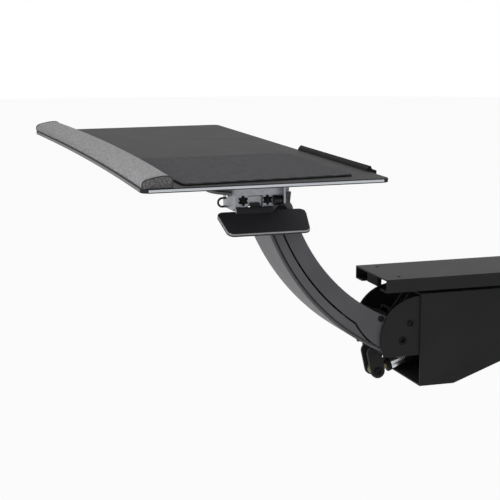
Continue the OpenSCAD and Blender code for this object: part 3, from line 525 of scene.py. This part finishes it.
# %% Mark the faces of painted light
ARM_R, SHADE_GROOVE_R, SHADE_GROOVE_X = 292, (310.5, 315.0), 40
SHADE_BARREL_R, SHADE_BARREL_TOP, HIGHLIGHT_FROM = 6, 3.6, 9


def mark_painted_light(name, chosen):
    marked = [face for face in shown[name].data.polygons if chosen(face.center * 1000, face.normal)]
    for face in marked:
        face.material_index = 1
    print(name, len(marked), "faces marked")


head_end, foot_end = middle_mm("head_pivot_pins"), middle_mm("arm_pivot_bolts")
chord = foot_end - head_end
rise = math.sqrt(ARM_R ** 2 - chord.yz.length_squared / 4)
centre = (head_end + foot_end) / 2 + Vector((0, -chord.z, chord.y)).normalized() * rise
print("centre of the arm's curve", [round(v, 1) for v in centre])
# painted shade: the groove's faces on the arm cover
mark_painted_light("arm_cover",
              lambda c, n: abs(c.x) > SHADE_GROOVE_X and SHADE_GROOVE_R[0] < (c - centre).yz.length < SHADE_GROOVE_R[1])
# painted shade: the zinc bracket's hinge barrels drawn black between bracket and paddle
mark_painted_light("release_bracket",
              lambda c, n: abs(c.x - barrel.x) < SHADE_BARREL_R and c.z < barrel.z + SHADE_BARREL_TOP)
# painted highlight: light grey on the paddle's outer rim
mark_painted_light("release_paddle",
              lambda c, n: 0.2 < n.dot(upper) < 0.95 and c.x > barrel.x + HIGHLIGHT_FROM
              and max(n.dot(outer), -n.y) > 0.25)

# %% [markdown]
# The paddle's inner edge is rolled over the hinge barrels, which hides them from above. The roll
# is a cut of a tube: a cylinder without ends is laid along the pin, the faces outside its arc are
# deleted, and the strip that is left gets its thickness and soft edges. It stops short of the
# bracket's plate, with room for the squeeze.

# %% Model the roll of the paddle
ROLL_R, ROLL_T, ROLL_LENGTH, ROLL_ARC = mm(7.2), mm(1.4), mm(49), (-18, 60)
bpy.ops.object.select_all(action="DESELECT")
bpy.ops.mesh.primitive_cylinder_add(vertices=72, radius=ROLL_R, depth=ROLL_LENGTH,
                                    end_fill_type="NOTHING", location=barrel / 1000,
                                    rotation=(math.pi / 2, 0, 0))
roll = bpy.context.object
bpy.ops.object.transform_apply(location=True, rotation=True, scale=True)
bpy.ops.object.mode_set(mode="EDIT")
bpy.ops.mesh.select_mode(type="FACE")
bpy.ops.mesh.select_all(action="DESELECT")
bpy.ops.object.mode_set(mode="OBJECT")
for face in roll.data.polygons:
    way = face.center * 1000 - barrel
    face.select = not ROLL_ARC[0] < math.degrees(math.atan2(way.z, way.x)) < ROLL_ARC[1]
bpy.ops.object.mode_set(mode="EDIT")
bpy.ops.mesh.delete(type="FACE")
bpy.ops.object.mode_set(mode="OBJECT")
apply(roll, "SOLIDIFY", thickness=ROLL_T, offset=0)
round_edges(roll, 0.5)
roll.name = "paddle_roll"
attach(roll, nodes["release_paddle"]["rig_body"])
print("roll", len(roll.data.polygons), "faces")

# %% [markdown]
# The board. On the real one a sheet is cut with a hollow front edge, its corners are rounded,
# and a band is pressed round it. So it starts as a flat grid, whose front row is pulled back
# to the hollow, its four corner points are bevelled, and the sheet is given its thickness
# downwards. Faces that look sideways along the straight edges get the band's light grey, a painted
# reflection, and those in front get the darker grey, painted shade. The round corners keep the laminate's
# black, a painted dark reflection.

# %% Model the board
HOLLOW, CORNER, BOARD_STEPS, PAINTED_BAND_STRAIGHT = mm(7), mm(10), 48, 0.985
low, high = map(Vector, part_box("tray_board"))
size, middle = high - low, (high + low) / 2
hollow_r = (size.x ** 2 / 4 + HOLLOW ** 2) / (2 * HOLLOW)
bpy.ops.object.select_all(action="DESELECT")
bpy.ops.mesh.primitive_grid_add(x_subdivisions=BOARD_STEPS, y_subdivisions=1, size=1)
board = bpy.context.object
bpy.ops.object.mode_set(mode="EDIT")
bpy.ops.transform.resize(value=(size.x, size.y, 1))
bpy.ops.transform.translate(value=(middle.x, middle.y, high.z))
bpy.ops.mesh.select_all(action="DESELECT")
bpy.ops.object.mode_set(mode="OBJECT")
front = high.y - size.y
for v in board.data.vertices:
    v.select = abs(v.co.x) > size.x / 2 - mm(0.1)
    if v.co.y < middle.y:
        v.co.y = front + HOLLOW - hollow_r + math.sqrt(hollow_r ** 2 - v.co.x ** 2)
bpy.ops.object.mode_set(mode="EDIT")
bpy.ops.mesh.select_mode(type="VERT")
bpy.ops.mesh.bevel(offset=CORNER, segments=8, affect="VERTICES")
bpy.ops.object.mode_set(mode="OBJECT")
apply(board, "SOLIDIFY", thickness=size.z, offset=-1)
round_edges(board, 1.2)
# painted light by face direction: light band on the straight sides, darker band in front, laminate black
# on the round corners
for face in board.data.polygons:
    straight = max(abs(face.normal.x), abs(face.normal.y)) > PAINTED_BAND_STRAIGHT
    in_front = face.center.y < middle.y and abs(face.normal.y) > 0.9
    face.material_index = 0 if not straight else 2 if in_front else 1
stand_for(board, "tray_board")
print("board", len(board.data.polygons), "faces,", [round(s * 1000, 1) for s in size], "mm")

# %% [markdown]
# The pad is a sheet of foam rubber with cloth glued on. Its rear right corner is drawn in, so
# the sheet starts as a plane whose corner is moved there before its corners are rounded. A
# second, smaller outline is inset on the top and pressed in a little, which leaves the sealed
# rim of such pads.

# %% Model the pad
PAD_CORNER, PAD_RIM, PAD_STEP, PAD_SINK, PAD_CLOTH = mm(8), mm(3), mm(0.6), mm(0.4), mm(1.2)
PAD_STRAIGHT, PAD_DRAW = mm(20), math.tan(math.radians(5))
low, high = map(Vector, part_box("mouse_pad"))
size, middle = high - low, (high + low) / 2
bpy.ops.object.select_all(action="DESELECT")
bpy.ops.mesh.primitive_plane_add(size=1)
pad = bpy.context.object
bpy.ops.object.mode_set(mode="EDIT")
bpy.ops.transform.resize(value=(size.x, size.y, 1))
bpy.ops.transform.translate(value=(middle.x, middle.y, high.z))
bpy.ops.object.mode_set(mode="OBJECT")
for v in pad.data.vertices:
    if v.co.x > middle.x and v.co.y > middle.y:
        v.co.x -= PAD_DRAW * (size.y - PAD_STRAIGHT)
bpy.ops.object.mode_set(mode="EDIT")
bpy.ops.mesh.select_mode(type="VERT")
bpy.ops.mesh.select_all(action="SELECT")
bpy.ops.mesh.bevel(offset=PAD_CORNER, segments=6, affect="VERTICES")
bpy.ops.object.mode_set(mode="OBJECT")
apply(pad, "SOLIDIFY", thickness=size.z, offset=-1)
cloth_face = max(pad.data.polygons, key=lambda face: face.normal.z * face.area)
for face in pad.data.polygons:
    face.select = face.index == cloth_face.index
bpy.ops.object.mode_set(mode="EDIT")
bpy.ops.mesh.select_mode(type="FACE")
bpy.ops.mesh.inset(thickness=PAD_RIM, depth=0)
bpy.ops.mesh.inset(thickness=PAD_STEP, depth=-PAD_SINK)
bpy.ops.object.mode_set(mode="OBJECT")
round_edges(pad, 0.8)
for face in pad.data.polygons:
    face.material_index = 0 if face.center.z > high.z - PAD_CLOTH else 1
stand_for(pad, "mouse_pad")
print("pad", len(pad.data.polygons), "faces")

# %% [markdown]
# The palm rest is a gel core in a stretched cover, glued down along its foot, with a cap sewn on
# at each end. A flat grid is wrapped over the section, as the cover is pulled over its core, the
# ends are closed with caps and the foot with a strip, and creases keep their edges through the
# subdivision. Then the form swells a little as cloth under pressure, with its foot and its caps held
# still and no point allowed to travel more than 0.8 mm.

# %% Model the palm rest
SECTION = [(0.02, 0), (0, 0.28), (0.01, 0.46), (0.05, 0.6), (0.13, 0.71), (0.27, 0.81), (0.45, 0.91),
           (0.63, 0.98), (0.77, 1), (0.88, 0.985), (0.96, 0.93), (1, 0.8), (1, 0.3), (0.985, 0)]
PALM_DEPTH, PALM_BELLY, PALM_FRONT, SWELL = mm(33), mm(3.5), mm(1.5), mm(0.8)
PALM_STEPS, END_STEPS, CAP_INSETS = 64, (0, 0.0015, 0.006), ((1.2, 0.2), (2, 0.3))
CLOTH_FRAMES, CLOTH_PRESSURE, CLOTH_STIFFNESS, HELD, NEAR = 16, 16, 40, mm(2), mm(0.1)
low, high = map(Vector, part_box("palm_rest"))
half, tall, rows = high.x, high.z - low.z, len(SECTION) - 1


def section_point(x, row):
    deep, up = SECTION[row]
    middle_share = 1 - (x / half) ** 2
    start = front + PALM_FRONT + HOLLOW * middle_share
    return Vector((x, start + (PALM_DEPTH + PALM_BELLY * middle_share) * deep, low.z + tall * up))


def station(step):
    from_end = min(step, PALM_STEPS - step)
    inner = END_STEPS[-1]
    if from_end < len(END_STEPS):
        reach = half - END_STEPS[from_end]
    else:
        share = (from_end - len(END_STEPS) + 1) / (PALM_STEPS / 2 - len(END_STEPS) + 1)
        reach = (half - inner) * (1 - share)
    return -reach if step < PALM_STEPS / 2 else reach


bpy.ops.object.select_all(action="DESELECT")
bpy.ops.mesh.primitive_grid_add(x_subdivisions=PALM_STEPS, y_subdivisions=rows, size=1)
palm = bpy.context.object
for v in palm.data.vertices:
    step, row = round((v.co.x + 0.5) * PALM_STEPS), round((v.co.y + 0.5) * rows)
    v.co = section_point(station(step), row)


def along_foot(a, b):
    return max(a.z, b.z) < low.z + mm(0.01) and abs(a.y - b.y) < PALM_DEPTH / 2


def round_cap(a, b):
    return all(abs(abs(p.x) - half) < NEAR for p in (a, b))


bpy.ops.object.mode_set(mode="EDIT")
bpy.ops.mesh.select_mode(type="EDGE")
for side in (-1, 1):
    select_edges(palm, lambda a, b: min(a.x * side, b.x * side) > half - NEAR)
    bpy.ops.mesh.edge_face_add()
    for inwards, outwards in CAP_INSETS:
        bpy.ops.mesh.inset(thickness=mm(inwards), depth=mm(outwards))
select_edges(palm, along_foot)
bpy.ops.mesh.bridge_edge_loops()
for chosen, crease in ((along_foot, 1), (round_cap, 0.8)):
    select_edges(palm, chosen)
    bpy.ops.transform.edge_crease(value=crease)
bpy.ops.mesh.select_all(action="SELECT")
bpy.ops.mesh.normals_make_consistent(inside=False)
bpy.ops.object.mode_set(mode="OBJECT")
apply(palm, "SUBSURF", levels=1, render_levels=1)
held = palm.vertex_groups.new(name="held")
held.add([v.index for v in palm.data.vertices
          if v.co.z < low.z + HELD or abs(v.co.x) > half - HELD], 1, "REPLACE")
cloth = palm.modifiers.new("cover", "CLOTH")
cloth.settings.quality = 12
cloth.settings.tension_stiffness = cloth.settings.compression_stiffness = CLOTH_STIFFNESS
cloth.settings.use_pressure = True
cloth.settings.uniform_pressure_force = CLOTH_PRESSURE
cloth.settings.effector_weights.gravity = 0
cloth.settings.vertex_group_mass = "held"
cloth.point_cache.frame_end = CLOTH_FRAMES
for moment in range(1, CLOTH_FRAMES + 1):
    bpy.context.scene.frame_set(moment)
swollen = palm.evaluated_get(bpy.context.evaluated_depsgraph_get()).to_mesh()
reached = [v.co.copy() for v in swollen.vertices]
palm.modifiers.remove(cloth)
for v, goal in zip(palm.data.vertices, reached):
    way = goal - v.co
    v.co += way * min(1, SWELL / max(way.length, 1e-9))
bpy.context.scene.frame_set(1)
apply(palm, "SUBSURF", levels=1, render_levels=1)
for v in palm.data.vertices:
    v.co.z = max(v.co.z, low.z)
# faces looking along X, the end caps, get the darker jersey: painted shade of those sides
for face in palm.data.polygons:
    face.material_index = 1 if abs(face.normal.x) > 0.8 else 0
only(palm)
bpy.ops.object.shade_smooth()
stand_for(palm, "palm_rest")
print("palm rest", len(palm.data.polygons), "faces")

# %% [markdown]
# The seam of each cap is covered by a thin dark piping, a cord sewn into a strip of the cover. It
# follows the section from the foot in front to the foot behind, so it is a curve through the same
# points, given a round thickness and then made a mesh.

# %% Model the piping
PIPING_R, PIPING_IN = mm(0.9), mm(0.7)
curve = bpy.data.curves.new("palm_piping", "CURVE")
curve.dimensions, curve.bevel_depth = "3D", PIPING_R
curve.bevel_resolution, curve.use_fill_caps = 3, True
for side in (-1, 1):
    route = [section_point(side * (half - PIPING_IN), row) for row in range(rows + 1)]
    spline = curve.splines.new("NURBS")
    spline.points.add(len(route) - 1)
    spline.order_u, spline.use_endpoint_u, spline.resolution_u = 3, True, 6
    for point, place in zip(spline.points, route):
        point.co = (*place, 1)
piping = bpy.data.objects.new("palm_piping", curve)
bpy.context.scene.collection.objects.link(piping)
only(piping)
bpy.ops.object.convert(target="MESH")
piping = bpy.context.object
bpy.ops.object.shade_smooth()
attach(piping, nodes["palm_rest"]["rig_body"])
print("piping", len(piping.data.polygons), "faces")

# %% [markdown]
# Every piece that shows is given its finish by name, and those with more than one finish are listed
# after the rest. A solid's own mesh is never touched: only what is in its material slot changes.

# %% Finish the solids
FINISH = {
    arm_coat: "arm_channel head_bracket turntable_top tray_mount levelling_link",
    hinge_coat: "hinge_bracket spring_housing spring_lug spring_anchor",
    track_coat: "track",
    zinc: "release_plate carriage_plate swivel_bolt swivel_nut housing_screws anchor_screws "
          "lower_link_pin upper_link_pin cover_screws turntable_rivet paddle_pin tilt_pin "
          "mount_screws ledge_screws anchor_pin",
    # painted highlight on the bracket screws; the spring rod's own polish
    bright_zinc_and_highlight: "bracket_screws spring_rod",
    chrome: "spring_tube",
    yellow_zinc: "spring_eye rod_end",
    black_oxide: "arm_pivot_bolts arm_stop_screws lug_pin clip_bolts head_pivot_pins "
                 "slide_studs lug_screws",
    nylon: "carriage_glides thrust_washer arm_pivot_bushes head_pivot_bushes",
    black_abs: "track_stops cable_clips star_nuts spring_collar spring_gland rear_ledge",
    black_pvc: "release_cable cable_loop cable_boot",
}


def finish(piece, *materials):
    slots = piece.data.materials
    for index, material in enumerate(materials):
        if index < len(slots):
            slots[index] = material
        else:
            slots.append(material)


for material, names in FINISH.items():
    for name in names.split():
        finish(shown[name], material)
# several second colours here are painted light: the band's two copies, the caps' darker jersey, the
# paddle's lighter black and light rim, and the black of the arm's groove and of the bracket's barrels
SEVERAL = ((board, laminate, painted_reflection_band, painted_shade_front_band), (pad, pad_cloth, foam_rubber),
           (palm, speckled_jersey, shaded_cap_jersey), (paddle, paddle_abs_painted_lighter, rim_painted_highlight),
           (shown["arm_cover"], cover_coat, painted_shade_groove), (shown["release_bracket"], zinc, black_oxide))
for piece, *materials in SEVERAL + ((roll, paddle_abs_painted_lighter), (piping, black_pvc)):
    finish(piece, *materials)
print("finished:", sum(len(names.split()) for names in FINISH.values()) + len(SEVERAL), "of", len(nodes))
